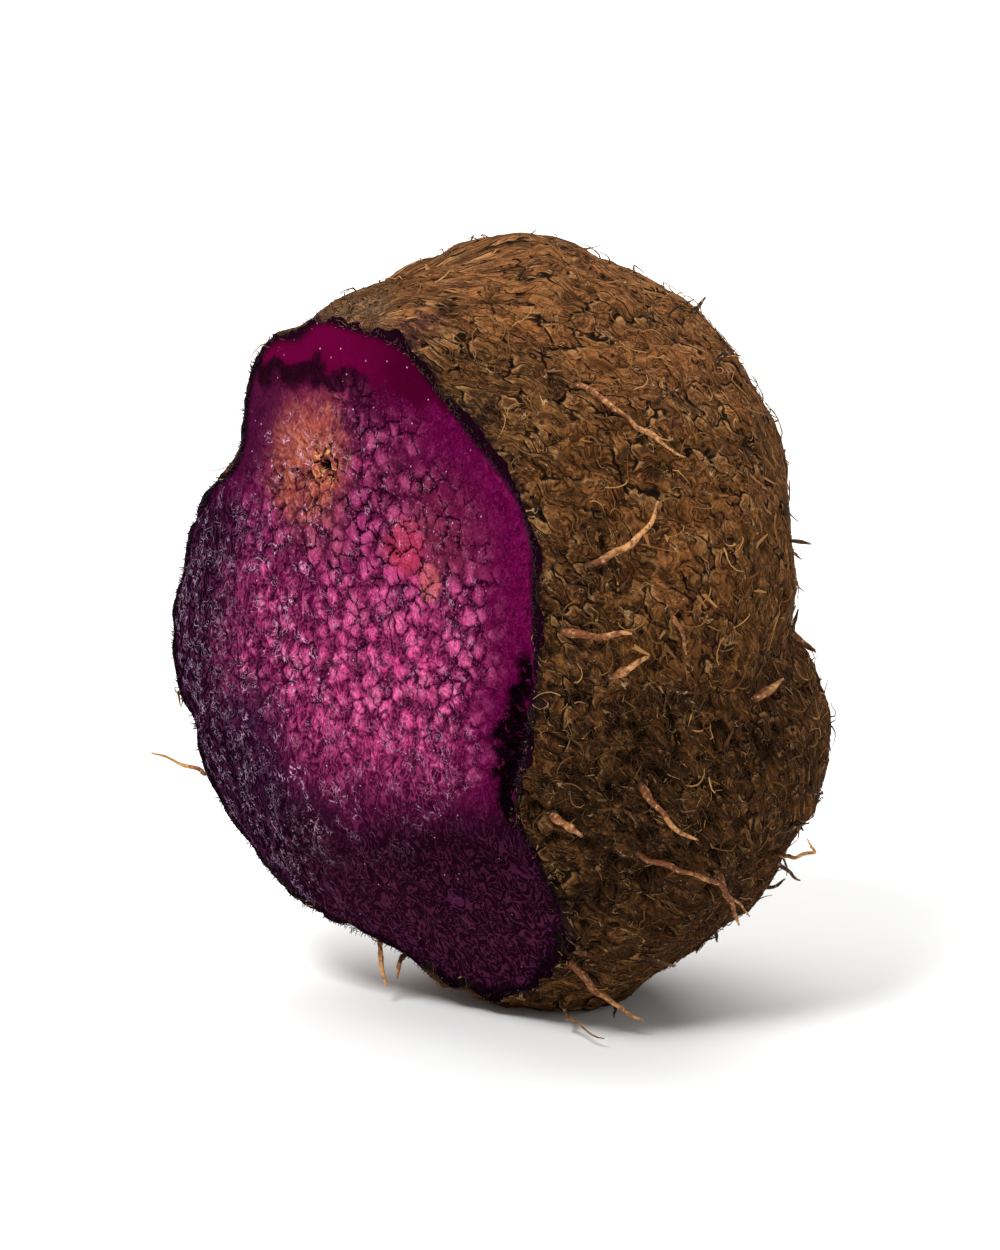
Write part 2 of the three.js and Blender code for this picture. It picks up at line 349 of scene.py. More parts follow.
def add(tree, kind, inputs=None, out=0, **settings):
    """Adds a node with its settings, gives its sockets values or links, and returns one output.

    A kind without Node in its name is a shader node's, cut short.
    """
    node = tree.nodes.new(kind if "Node" in kind else "ShaderNode" + kind)
    for name, value in settings.items():
        setattr(node, name, value)
    for key, value in (inputs or {}).items():
        if isinstance(value, bpy.types.NodeSocket):
            tree.links.new(value, node.inputs[key])
        else:
            node.inputs[key].default_value = value
    return node.outputs[out]


def per_metre(size_mm):
    """The scale of a noise in object coordinates whose features are this many millimetres wide."""
    return 1 / (size_mm * MM)


def new_material(name):
    """An empty material and its node tree."""
    material = bpy.data.materials.new(name)
    material.use_nodes = True
    return material, material.node_tree


def surfaced(material, colour, settings, relief=None, depth=0.0):
    """The material with its colour, its shader's settings, and a relief as deep as depth metres."""
    tree = material.node_tree
    shader = tree.nodes["Principled BSDF"]
    tree.links.new(colour, shader.inputs["Base Color"])
    for name, value in settings.items():
        shader.inputs[name].default_value = value
    if relief is not None:
        bump = add(tree, "Bump", {"Height": relief, "Strength": 1.0, "Distance": depth}, out="Normal")
        tree.links.new(bump, shader.inputs["Normal"])
    return material


def product(tree, *factors):
    """All the factors multiplied together.

    A factor (value, start, end) is 0 up to the start and 1 from the end on, with a smooth climb
    between. A fourth number takes the place of the 1.
    """
    result = None
    for factor in factors:
        if isinstance(factor, tuple):
            value, start, end, most = (*factor, 1.0)[:4]
            span = {"Value": value, "From Min": start, "From Max": end, "To Max": most}
            factor = add(tree, "MapRange", span, interpolation_type="SMOOTHSTEP")
        if result is None:
            result = factor
        else:
            result = add(tree, "Math", {0: result, 1: factor}, operation="MULTIPLY")
    return result


def summed(tree, start, *terms):
    """The start plus every term. A term is a weight and the factors that it is multiplied with."""
    for weight, *factors in terms:
        parts = {0: product(tree, *factors), 1: weight, 2: start}
        start = add(tree, "Math", parts, operation="MULTIPLY_ADD")
    return start


def painted(tree, colour, *layers):
    """A colour with tints laid over it in turn. A layer is its tint and the factors of its share."""
    for tint, *factors in layers:
        below, over = (linear(c) if isinstance(c, str) else c for c in (colour, tint))
        parts = {0: product(tree, *factors), 6: below, 7: over}
        colour = add(tree, "Mix", parts, out=2, data_type="RGBA")
    return colour


# Where a patch ends and where it is full, as shares of its half sizes.
PATCH_EDGE = (1.25, 0.45)


def patch_share(tree, place, at, half, cover):
    """1 in the middle of a patch and 0 well off it. The place is ragged, so its edge is as well."""
    middle, stretch = [c * MM for c in at], [1 / (h * MM) for h in half]
    apart = add(tree, "VectorMath", {0: place, 1: middle}, operation="SUBTRACT")
    scaled = add(tree, "VectorMath", {0: apart, 1: stretch}, operation="MULTIPLY")
    reach = add(tree, "VectorMath", {0: scaled}, out="Value", operation="LENGTH")
    return product(tree, (reach, *PATCH_EDGE, cover))


def patched(tree, place, colour, patches):
    """Lays each patch's tint over the ground colour."""
    for _, at, half, tint, cover in patches:
        colour = painted(tree, colour, (tint, patch_share(tree, place, at, half, cover)))
    return colour


def pushed(tree, place, scale, detail, reach, middle=0.0):
    """A place pushed about by a noise. With a middle of 0.5 it is pushed all ways alike."""
    wander = add(tree, "TexNoise", {"Vector": place, "Scale": scale, "Detail": detail}, out="Color")
    centred = add(tree, "VectorMath", {0: wander, 1: (middle,) * 3}, operation="SUBTRACT")
    push = add(tree, "VectorMath", {0: centred, "Scale": reach}, operation="SCALE")
    return add(tree, "VectorMath", {0: place, 1: push}, operation="ADD")


def ragged_place(tree, wander_mm):
    """Object coordinates, and the same pushed about to give patches a ragged edge."""
    place = add(tree, "TexCoord", out="Object")
    return place, pushed(tree, place, per_metre(7), 4.0, 4 * wander_mm * MM, 0.5)


def scribble(tree, place, scale, thin, curl):
    """Short curly strokes: 1 on a stroke and 0 off it. A thinner one is broken up more."""
    field, gaps = (
        add(tree, "TexNoise", {"Vector": place, "Scale": s, "Detail": 1.0, "Distortion": bend}, out="Fac")
        for s, bend in ((scale, curl), (scale * 0.83, 0.0))
    )
    off_line = add(tree, "Math", {0: field, 1: 0.5}, operation="SUBTRACT")
    off_line = add(tree, "Math", {0: off_line}, operation="ABSOLUTE")
    return product(tree, (off_line, thin, thin / 3), (gaps, 0.47, 0.56))


def folds(tree, place, scale, count):
    """Curly folds side by side: 0 in the furrow between two of them and 0.5 on top of one."""
    bends = {"Vector": place, "Scale": scale, "Detail": 1.5, "Distortion": 1.2}
    field = add(tree, "TexNoise", bends, out="Fac")
    return add(tree, "Math", {0: product(tree, field, count), 1: 0.5}, operation="PINGPONG")


# Patches of another tone, in millimetres: name, middle, half sizes, tint and how much it covers.
# These are where the bark is lighter, darker or stained, and the hairs there take the same tones.
# The crown and the shoulder are lighter partly by painted light, the low half darker partly by painted
# shade.
BARK_PATCHES = [
    # The cleaner crown's own tone, and painted light from above.
    ("golden crown", (6, -10, 134), (46, 46, 26), "#966038", 0.62),
    ("bright shoulder", (36, -24, 100), (18, 34, 24), "#7a4f2b", 0.35),
    ("grey by the rim", (-15, -33, 119), (20, 19, 14), "#2d2317", 0.8),
    ("grey flank", (2, -52, 88), (12, 14, 28), "#352417", 0.65),
    ("pale edge", (-36, -8, 133), (11, 12, 5), "#9c826a", 0.5),
    ("purple stain", (-24, -18, 131), (8, 9, 4), "#452730", 0.8),
    # Matted earth, and painted shade on the lower half.
    ("dark low half", (24, -40, 40), (52, 44, 40), "#241307", 0.75),
    ("damp foot", (10, -26, 12), (44, 40, 18), "#3a2413", 0.45),
    ("damp hollow", (8, -54, 40), (22, 20, 17), "#1d1007", 0.7),
]
# Where the bark's flakes are darker on the low front, its half sizes, and how much it covers.
LOW_FRONT_DARKENING = ((16, -50, 42), (46, 40, 34), 0.35)


def bark_material():
    """Cork skin of a yam, dried with earth in it: matt, flaky and cracked, with no shine at all."""
    material, tree = new_material("dried cork skin")
    place, ragged = ragged_place(tree, 5)
    grain = add(tree, "Attribute", out="Vector", attribute_name="grain")
    pit, to_cut = (add(tree, "Attribute", out="Fac", attribute_name=name) for name in ("pit", "to_cut"))
    # Real cork is grained more finely than the 0.8 mm here and in the fibres, which wouldn't show.
    open_here, speckle, earth, blotch = (
        add(tree, "TexNoise", {"Vector": place, "Scale": per_metre(size), "Detail": detail}, out="Fac")
        for size, detail in ((5, 2.0), (0.8, 3.0), (7, 3.0), (15, 4.0))
    )

    # The tuber's own measure, in millimetres, bent so that nothing runs quite straight.
    wavy = pushed(tree, grain, 1 / 6.0, 2.0, 7.0)
    long, threads = (
        add(tree, "VectorMath", {0: wavy, 1: (1, 1, squeeze)}, operation="MULTIPLY")
        for squeeze in (0.42, 0.18)
    )

    # Flakes of cork 3 mm wide and more than twice as long, each of its own tone. Each overlaps the
    # next: one end of it is raised and carries painted light, and the other carries painted shade.
    # Where it ends there is a black crack, unless it is grown over.
    cells = {"Vector": long, "Scale": 1 / 3.0}
    own = add(tree, "TexVoronoi", cells, out="Color")
    apart = add(tree, "VectorMath", {0: long, 1: own.node.outputs["Position"]}, operation="SUBTRACT")
    raised = add(tree, "SeparateXYZ", {0: apart}, out="Z")
    edge = add(tree, "TexVoronoi", cells, feature="DISTANCE_TO_EDGE")
    tone = add(tree, "SeparateXYZ", {0: own}, out="X")
    cracked = product(tree, (open_here, 0.46, 0.56))
    crack = product(tree, (edge, 0.06, 0.025), cracked)
    # The lip is where a painted highlight lies, along the raised side of an open crack.
    lip = product(tree, (edge, 0.2, 0.09), (raised, 0.2, 0.8), cracked)
    # Wrinkles under a millimetre apart run over the flakes, and here and there one has split.
    wrinkle = folds(tree, long, 1 / 3.4, 5.0)
    split = product(tree, (wrinkle, 0.07, 0.02), (open_here, 0.53, 0.44))
    hole_cell = add(tree, "TexVoronoi", {"Vector": place, "Scale": per_metre(3)})
    hole = product(tree, (hole_cell, 0.17, 0.1), (open_here, 0.44, 0.54))
    thread = scribble(tree, long, 1 / 2.6, 0.012, 0.6)
    fibre = add(tree, "TexNoise", {"Vector": threads, "Scale": 1 / 0.8, "Detail": 2.0}, out="Fac")
    stain = summed(tree, to_cut, (3.0, speckle))

    ground = painted(tree, "#4f2e16", ("#7a4b27", (blotch, 0.38, 0.62)))
    colour = painted(
        tree, patched(tree, ragged, ground, BARK_PATCHES),
        ("#30221a", (earth, 0.52, 0.66, 0.5)),
        ("#2f1b0d", (tone, 0.5, 0.0, 0.3)),
        ("#9c6235", (tone, 0.5, 1.0, 0.2)),
        # Painted light on each flake's raised end and painted shade on its other end.
        ("#a56c3c", (raised, 0.2, 1.3, 0.3)),
        ("#25150a", (raised, -0.2, -1.3, 0.4)),
        ("#2b1a0b", (fibre, 0.48, 0.34, 0.35)),
        ("#ab713c", (fibre, 0.54, 0.68, 0.35)),
        # Painted light on the wrinkles' crests and painted shade in their troughs.
        ("#ad7640", (wrinkle, 0.34, 0.48, 0.25)),
        ("#2a190d", (wrinkle, 0.16, 0.02, 0.45)),
        ("#b8834e", (speckle, 0.6, 0.7, 0.35)),
        ("#201206", (speckle, 0.42, 0.32, 0.5)),
        # Near the cut the bark is stained by dried sap.
        ("#1b0f12", (stain, 3.0, 1.5, 0.9)),
        # Painted highlight along the raised lip of each open crack.
        ("#c39260", lip, 0.42),
        ("#1d1108", patch_share(tree, ragged, *LOW_FRONT_DARKENING)),
        # The pits and cracks hold shade and black earth.
        ("#130a05", split, 0.85),
        ("#0d0703", crack, 0.95),
        ("#0d0703", hole, 0.9),
        ("#100904", pit, 0.85),
        ("#c99f6e", thread, 0.7),
    )
    # Height of the finest relief, in millimetres.
    height = summed(
        tree, 0.0, (0.3, raised), (0.5, fibre), (0.5, speckle), (0.9, wrinkle), (-0.8, crack), (-0.8, hole),
        (0.3, thread),
    )
    return surfaced(material, colour, {"Roughness": 0.95, "Specular IOR Level": 0.05}, height, 1.2 * MM)


# Where the brown rot is, and its half sizes.
ROT = ((-46.5, -4.5, 105), (14, 14, 14.5))
FLESH_PATCHES = [
    ("bright middle", (-32, -22, 68), (21, 21, 18), "#e0468c", 0.95),
    ("upper middle", (-36, -17, 84), (14, 15, 11), "#93275f", 0.6),
    ("dusky under the top", (-34, -15, 116), (28, 26, 7.5), "#370a22", 0.95),
    ("dusky upper right", (-27, -26, 104), (14, 15, 13), "#551832", 0.8),
    ("olive grains", (-17, -36, 97), (12, 12, 14), "#6b2a38", 0.85),
    ("tail of the rot", (-43, -7, 92), (10, 11, 7), "#8a4250", 0.8),
    ("rot", *ROT, "#96423b", 1.0),
    ("pale heart of the rot", (-45.5, -5.5, 106), (10, 10, 9), "#b25a48", 0.8),
]
BRUISES = [
    ("olive grains", (-19, -34, 98), (9, 10, 10), "#64202b", 0.55),
    ("red bruise", (-27, -26, 92), (4.6, 5.4, 6.5), "#cf3f5c", 0.6),
    ("lower red bruise", (-23, -31, 86), (3.4, 4.4, 3.5), "#d96c68", 0.6),
]
DRIED_PATCHES = [
    ("dark lower left", (-56, 4, 47), (13, 15, 17), "#210a28", 0.8),
    ("dark foot", (-46, -5, 32), (18, 18, 12), "#280b21", 0.85),
]


def on_broad_cut(tree, place):
    """A point's place on the broad cut, to the right and upwards."""
    right, up = (
        add(tree, "VectorMath", {0: place, 1: axis}, out="Value", operation="DOT_PRODUCT")
        for axis in (FACE_RIGHT, FACE_UP)
    )
    return add(tree, "CombineXYZ", {"X": right, "Y": up})


def granules(tree, flat):
    """How far a point is from a crevice and from its granule's middle, in mm, and a random colour.

    The relief and the colours both use this pattern, so they fall on the same granules.
    """
    bent = pushed(tree, flat, per_metre(3.5), 4.0, 1.5 * GRANULE * MM)
    cells = {"Vector": bent, "Scale": per_metre(GRANULE), "Randomness": 0.9}
    edge = add(tree, "TexVoronoi", cells, feature="DISTANCE_TO_EDGE", voronoi_dimensions="2D")
    middle = add(tree, "TexVoronoi", cells, voronoi_dimensions="2D")
    return product(tree, edge, GRANULE), product(tree, middle, GRANULE), middle.node.outputs["Color"]


def rays_round_pit(tree, flat):
    """Fibres that run out from the rotten pit on all sides, and how far a point is from the pit."""
    pit = over_cut(*PIT) * MM
    on_face = (pit.dot(FACE_RIGHT), pit.dot(FACE_UP), 0)
    arm = add(tree, "VectorMath", {0: flat, 1: on_face}, operation="SUBTRACT")
    distance = add(tree, "VectorMath", {0: arm}, out="Value", operation="LENGTH")
    way = add(tree, "VectorMath", {0: arm}, operation="NORMALIZE")
    spoke, outward = (
        add(tree, "VectorMath", {0: run, "Scale": scale}, operation="SCALE")
        for run, scale in ((way, 13.0), (arm, per_metre(4)))
    )
    along = add(tree, "VectorMath", {0: spoke, 1: outward}, operation="ADD")
    return add(tree, "TexNoise", {"Vector": along, "Scale": 1.0, "Detail": 3.0}, out="Fac"), distance


def flesh_material():
    """Raw purple yam, sliced some days ago: damp granules with dry, darkened edges. Its glints, and part of
    its shade, are painted.
    """
    material, tree = new_material("raw purple flesh")
    place, ragged = ragged_place(tree, 3)
    under, grain_share, groove = (
        add(tree, "Attribute", out="Fac", attribute_name=name)
        for name in ("under_bark", "grain_share", "groove")
    )
    shares = add(tree, "Attribute", out="Vector", attribute_name="facets")
    left, lower = (add(tree, "SeparateXYZ", {0: shares}, out=axis) for axis in "YZ")
    across, height = (add(tree, "SeparateXYZ", {0: ragged}, out=axis) for axis in "XZ")
    # Clouds 5 mm wide, crumbs 1.3 mm wide, grit 0.6 mm wide, and where the crevices gape. Real grit
    # is single cells a tenth of a millimetre wide, which wouldn't show.
    cloud, crumb, fine, gape = (
        add(
            tree, "TexNoise",
            {"Vector": place, "Scale": per_metre(size), "Detail": detail, "Distortion": bend}, out="Fac",
        )
        for size, detail, bend in ((5, 3.0, 0.0), (1.3, 2.0, 1.0), (0.6, 2.0, 0.0), (5, 2.0, 0.0))
    )
    rot_hole, glint_speck_cell = (
        add(tree, "TexVoronoi", {"Vector": place, "Scale": per_metre(size)}) for size in (3.4, 2.8)
    )
    flat = on_broad_cut(tree, place)
    to_crevice, from_middle, random_colour = granules(tree, flat)
    own = add(tree, "SeparateXYZ", {0: random_colour}, out="X")
    ray, from_pit = rays_round_pit(tree, flat)
    tall = add(tree, "VectorMath", {0: place, 1: (1, 1, 0.6)}, operation="MULTIPLY")
    ridge = product(tree, (folds(tree, tall, per_metre(2.9), 5.5), 0.1, 0.42))
    furrow = product(tree, (ridge, 1.0, 0.0))

    # The smooth band along the top, and the black streak that runs under its left end.
    edge = product(tree, (across, -42 * MM, -22 * MM, -3 * MM))
    over_edge = add(tree, "Math", {0: height, 1: edge}, operation="SUBTRACT")
    band = product(tree, (over_edge, 121 * MM, 122.8 * MM))
    band_tone = painted(tree, "#40011f", ("#5c0230", (across, -26 * MM, -40 * MM)))
    loose = product(tree, (band, 1.0, 0.0))
    streak = product(tree, (over_edge, 116.3 * MM, 119 * MM), (across, -24 * MM, -42 * MM))
    # The left edge has dried violet, but only below the rot. The lower cut has dried dark, and painted shade
    # takes it near black.
    dried = product(tree, (left, 0.02, 0.7), (height, 100 * MM, 88 * MM))
    dull = product(tree, (left, 0.05, 0.4), (height, 94 * MM, 100 * MM))
    rough = add(tree, "Math", {0: dried, 1: lower}, operation="ADD", use_clamp=True)
    rot = product(tree, patch_share(tree, ragged, *ROT, 1.0), loose)
    sound = product(tree, (rot, 1.0, 0.0))
    # The upper part of the rot has gone soft, so its granules don't show.
    softened = product(tree, rot, (height, 99 * MM, 104 * MM))
    firm = product(tree, grain_share, (softened, 1.0, 0.0))
    # The granules of the upper half are dusky and parted by black painted shade, and those below glow pink.
    upper = product(tree, (height, 76 * MM, 90 * MM))
    glow = product(tree, sound, summed(tree, 0.85, (-0.65, upper)), (cloud, 0.3, 0.56, 1.2))

    # Each granule has a tone of its own, painted light on its top and painted shade on its sides.
    ground = painted(tree, "#5f0a3d", ("#86195a", (cloud, 0.35, 0.65)))
    colour = painted(
        tree, patched(tree, ragged, ground, FLESH_PATCHES),
        ("#430e2a", (own, 0.5, 0.0, 0.75), firm),
        ("#ee5f9f", (own, 0.45, 1.0), glow, firm),
        ("#fb7cb0", (from_middle, 1.3, 0.3), firm, glow, 0.75),
        ("#3a0624", (from_middle, 1.0, 2.0), firm, 0.85),
    )

    # Crumbs between curly furrows, with painted light on the ridges and painted shade in the furrows: faint
    # on the granules, strong elsewhere.
    crumbly = product(tree, sound, summed(tree, 1.0, (-0.45, grain_share, upper), (-0.4, grain_share)))
    curly = product(tree, crumbly, (under, 4.0, 11.0))
    colour = painted(
        tree, patched(tree, ragged, colour, BRUISES),
        ("#db4d94", (crumb, 0.53, 0.68, 0.5), crumbly),
        ("#4a0830", (crumb, 0.48, 0.36, 0.75), crumbly),
        ("#de5098", ridge, 0.4, curly),
        ("#3d0626", furrow, 0.7, curly),
        ("#2a041b", (fine, 0.44, 0.32, 0.5)),
        ("#e070a6", (fine, 0.6, 0.7, 0.35), sound),
        # In the rot, pale and brown fibres run out from the pit over crumbs, clouds and small holes.
        ("#6b2c36", rot, (cloud, 0.5, 0.64, 0.6)),
        ("#cf7f60", rot, (ray, 0.5, 0.66, 0.4)),
        ("#5a1f26", rot, (ray, 0.46, 0.34, 0.5)),
        ("#d89074", rot, (crumb, 0.54, 0.66, 0.4)),
        ("#521c22", rot, (crumb, 0.46, 0.36, 0.55)),
        ("#1c0a0c", rot, (rot_hole, 0.16, 0.1, 0.8)),
        # Below the bright middle the flesh grows darker, and rings lie under the bark.
        ("#3f0d2b", (height, 57 * MM, 39 * MM, 0.8)),
        ("#62043e", (under, 11.0, 3.0, 0.85)),
        ("#43122f", dull, 0.8),
    )

    # Curls under half a millimetre wide: some dark, and some pale, painted glints where they would catch the
    # light.
    dark_curl = product(tree, scribble(tree, place, per_metre(2.1), 0.05, 1.5), loose, crumbly)
    glinting = product(
        tree, loose, (rough, 1.0, 0.0), (under, 4.0, 9.0), (height, 118 * MM, 108 * MM), (cloud, 0.42, 0.56),
    )
    glint_curl = product(tree, scribble(tree, place, per_metre(2.3), 0.035, 1.8), glinting)
    shine = summed(tree, 0.4, (0.45, (across, -36 * MM, -50 * MM)))
    dry_glint_curl = product(tree, scribble(tree, place, per_metre(2.6), 0.035, 2.2), dried)
    # Crevices between the granules, darkened with painted shade, and black cracks that run out from the pit.
    wide = summed(tree, to_crevice, (0.8, fine))
    crevice = product(tree, (wide, 0.72, 0.4), (gape, 0.38, 0.56), firm)
    torn = summed(tree, from_pit, (4 * MM, ray))
    colour = painted(
        tree, patched(tree, ragged, colour, DRIED_PATCHES),
        # The facets have dried violet at the left; below they have dried dark, with painted shade that takes
        # them near black.
        ("#1a0820", dried, 0.94),
        ("#26071d", (lower, 0.05, 0.6, 0.94)),
        ("#64284a", lower, (height, 36 * MM, 20 * MM, 0.3)),
        ("#1c0611", streak, 0.9),
        (band_tone, band, 0.96),
        # Painted shade in the furrows of the dry facets and painted light on their ridges.
        ("#0d030b", furrow, rough, 0.75),
        ("#6e3358", ridge, rough, 0.3),
        ("#1a0312", dark_curl, 0.6),
        # Painted glints, more of them towards the left.
        ("#e5b3d2", glint_curl, shine),
        # Painted glints on the dried violet facet.
        ("#b598b2", dry_glint_curl, 0.75),
        # Painted shade in the crevices between the granules.
        ("#160310", crevice, summed(tree, 0.7, (0.25, upper))),
        # Round the pit the cracks are black, and the granules beside it get painted glints.
        ("#12060a", (torn, 8.5 * MM, 5.5 * MM), (wide, 0.72, 0.56), 0.95),
        ("#e8b070", (torn, 6.6 * MM, 4.8 * MM), (crumb, 0.53, 0.6, 0.8)),
        ("#0c0406", (torn, 3.8 * MM, 3.2 * MM)),
        # The rim's black line, painted shade in the groove, and a few pale specks of painted glint.
        ("#12060f", (under, 1.6, 0.4, 0.95)),
        ("#070306", (groove, 0.12, 0.4), (crumb, 0.72, 0.6, 0.97)),
        ("#e3b9d6", (glint_speck_cell, 0.07, 0.04, 0.7)),
    )
    # Height of the finest relief, in millimetres. The band is smoother than the rest.
    relief = summed(
        tree, 0.0, (0.5, fine), (1.3, crumb, crumbly), (-0.5, crevice), (0.35, ridge, crumbly),
        (0.5, ridge, rough), (0.15, glint_curl),
    )
    relief = product(tree, relief, summed(tree, 0.2, (0.8, loose)))
    # The index of water, which fills the cells. The surface has dried and shows no gloss: what
    # glints on it is drawn above.
    settings = {
        "IOR": 1.36, "Roughness": 0.5, "Specular IOR Level": 0.0, "Subsurface Weight": 0.06,
        "Subsurface Radius": (1.0, 0.3, 0.5), "Subsurface Scale": MM,
    }
    return surfaced(material, colour, settings, relief, MM)


def hair_material(name, dark, light, pale_share):
    """Dry root hair. Every hair has a tone of its own, and takes on some of the tone of its place."""
    material, tree = new_material(name)
    _, ragged = ragged_place(tree, 5)
    own = add(tree, "NewGeometry", out="Random Per Island")
    weaker = [(*patch[:-1], 0.7 * patch[-1]) for patch in BARK_PATCHES]
    colour = patched(tree, ragged, painted(tree, dark, (light, own)), weaker)
    colour = painted(tree, colour, ("#c4945a", (own, 1 - pale_share, 1.0, 0.8)))
    return surfaced(material, colour, {"Roughness": 0.85, "Specular IOR Level": 0.15})


def root_material(name, skin, core, bareness):
    """Stiff dried root: a pale core where its thin brown skin has rubbed off, most at its tip."""
    material, tree = new_material(name)
    place = add(tree, "TexCoord", out="Object")
    own = add(tree, "NewGeometry", out="Random Per Island")
    proud = add(tree, "Attribute", out="Fac", attribute_name="proud")
    worn, scuff = (
        add(tree, "TexNoise", {"Vector": place, "Scale": per_metre(size), "Detail": detail}, out="Fac")
        for size, detail in ((1.6, 4.0), (0.8, 3.0))
    )
    bare = summed(tree, worn, (0.5, own), (0.13, proud))
    ragged_proud = summed(tree, proud, (1.5, scuff))
    colour = painted(
        tree, skin,
        (core, (bare, 1.4 - bareness, 2.0 - bareness)),
        ("#4a2716", (scuff, 0.5, 0.36, 0.6)),
        ("#e3b583", (scuff, 0.56, 0.68, 0.5)),
        # Darker close to the bark.
        ("#2b190c", (ragged_proud, 2.2, 0.8, 0.85)),
    )
    return surfaced(material, colour, {"Roughness": 0.75, "Specular IOR Level": 0.2}, scuff, 0.5 * MM)


def floor_material():
    """White painted board: matt and almost without colour."""
    material, tree = new_material("white painted board")
    place = add(tree, "TexCoord", out="Object")
    soft = add(tree, "TexNoise", {"Vector": place, "Scale": 3.0, "Detail": 2.0}, out="Fac")
    return surfaced(material, painted(tree, "#f4f4f3", ("#f8f8f7", soft)), {"Roughness": 0.9})


# ---- The tuber: bark and flesh as one closed mesh ----

# Squares along each side of the cube that is blown up into the bark, and the mesh size on the cut.
BARK_SQUARES = 104
FACE_SPACING = 0.5
FACE_HALF_WIDTH = 60
FACE_HALF_HEIGHT = 79
# The block that the flesh's surface tops is this much wider than the surface, and this deep. It
# holds all of the yam that the knife left.
BLOCK_MARGIN = 45
BLOCK_DEPTH = 160
# Nothing of the flesh lies farther than this from the heart.
FLESH_REACH = 95
# On a grid that reaches 1 each way, a corner beyond this is on the border.
ON_BORDER = 0.999
BARK, FLESH = 0, 1


def new_object(name, data):
    """An object in the scene with this mesh, curve, light or camera."""
    piece = bpy.data.objects.new(name, data)
    bpy.context.scene.collection.objects.link(piece)
    return piece


def as_it_stands(piece):
    """The piece's mesh with its modifiers or its curve's thickness applied."""
    return bpy.data.meshes.new_from_object(piece.evaluated_get(bpy.context.evaluated_depsgraph_get()))


def formed(name, form):
    """An object of the form's shape. The form is used up."""
    mesh = bpy.data.meshes.new(name)
    form.to_mesh(mesh)
    form.free()
    return new_object(name, mesh)


def bark_body():
    """A cube of even squares blown up until each corner lies at its own radius from the heart."""
    form = bmesh.new()
    bmesh.ops.create_cube(form, size=2)
    bmesh.ops.subdivide_edges(form, edges=form.edges[:], cuts=BARK_SQUARES - 1, use_grid_fill=True)
    for corner in form.verts:
        direction = Vector(math.tan(c * math.pi / 4) for c in corner.co).normalized()
        smooth = HEART + direction * bark_radius(direction)
        place = smooth + direction * bark_relief(smooth)
        place.z = max(place.z, 0)
        corner.co = place * MM
    return formed("bark body", form)


def with_granules(piece):
    """The piece's mesh with the flesh's granules measured at each corner, in millimetres."""
    tree = bpy.data.node_groups.new("granules", "GeometryNodeTree")
    for way in ("INPUT", "OUTPUT"):
        tree.interface.new_socket("Geometry", in_out=way, socket_type="NodeSocketGeometry")
    shape = add(tree, "NodeGroupInput")
    to_crevice, from_middle, _ = granules(tree, on_broad_cut(tree, add(tree, "GeometryNodeInputPosition")))
    for name, value in (("to_crevice", to_crevice), ("from_middle", from_middle)):
        held = {"Geometry": shape, "Name": name, "Value": value}
        shape = add(tree, "GeometryNodeStoreNamedAttribute", held, data_type="FLOAT", domain="POINT")
    tree.links.new(shape, tree.nodes.new("NodeGroupOutput").inputs[0])
    piece.modifiers.new("granules", "NODES").node_group = tree
    return as_it_stands(piece)


def flat_face():
    """A fine grid laid over the cuts, without relief. Its border reaches well out of the yam."""
    form = bmesh.new()
    columns = round(2 * FACE_HALF_WIDTH / FACE_SPACING)
    rows = round(2 * FACE_HALF_HEIGHT / FACE_SPACING)
    bmesh.ops.create_grid(form, x_segments=columns, y_segments=rows, size=1)
    for corner in form.verts:
        right, up = corner.co.x * FACE_HALF_WIDTH, corner.co.y * FACE_HALF_HEIGHT
        if corner.is_boundary:
            right += math.copysign(BLOCK_MARGIN, right) * (abs(corner.co.x) > ON_BORDER)
            up += math.copysign(BLOCK_MARGIN, up) * (abs(corner.co.y) > ON_BORDER)
        corner.co = (over_cut(right, up) + FACE_OUT * face_height(cut_heights(right, up))) * MM
    return formed("flat face", form)


def flesh_block():
    """A block whose top is the cut flesh, and which reaches out of the yam on all other sides."""
    face = flat_face()
    form = bmesh.new()
    form.from_mesh(with_granules(face))
    bpy.data.objects.remove(face)
    to_crevice, from_middle = (form.verts.layers.float[name] for name in ("to_crevice", "from_middle"))
    for corner in form.verts:
        p = corner.co / MM
        if (p - HEART).length < FLESH_REACH:
            right, up = face_place(p)
            heights = cut_heights(right, up)
            relief = flesh_relief(right, up, p, heights, corner[to_crevice], corner[from_middle])
            corner.co = (p + FACE_OUT * relief) * MM
    rim = [edge for edge in form.edges if edge.is_boundary]
    for corner in bmesh.ops.extrude_edge_only(form, edges=rim)["geom"]:
        if isinstance(corner, bmesh.types.BMVert):
            height = (corner.co / MM - FACE_MIDDLE).dot(FACE_OUT)
            corner.co -= FACE_OUT * (BLOCK_DEPTH + height) * MM
    bmesh.ops.contextual_create(form, geom=[edge for edge in form.edges if edge.is_boundary])
    bmesh.ops.recalc_face_normals(form, faces=form.faces)
    return formed("flesh block", form)


def store(mesh, name, values):
    """Stores a number or a vector for each corner of the mesh, for the materials to read."""
    if isinstance(values[0], (int, float)):
        mesh.attributes.new(name, "FLOAT", "POINT").data.foreach_set("value", values)
    else:
        flat = [c for value in values for c in value]
        mesh.attributes.new(name, "FLOAT_VECTOR", "POINT").data.foreach_set("vector", flat)


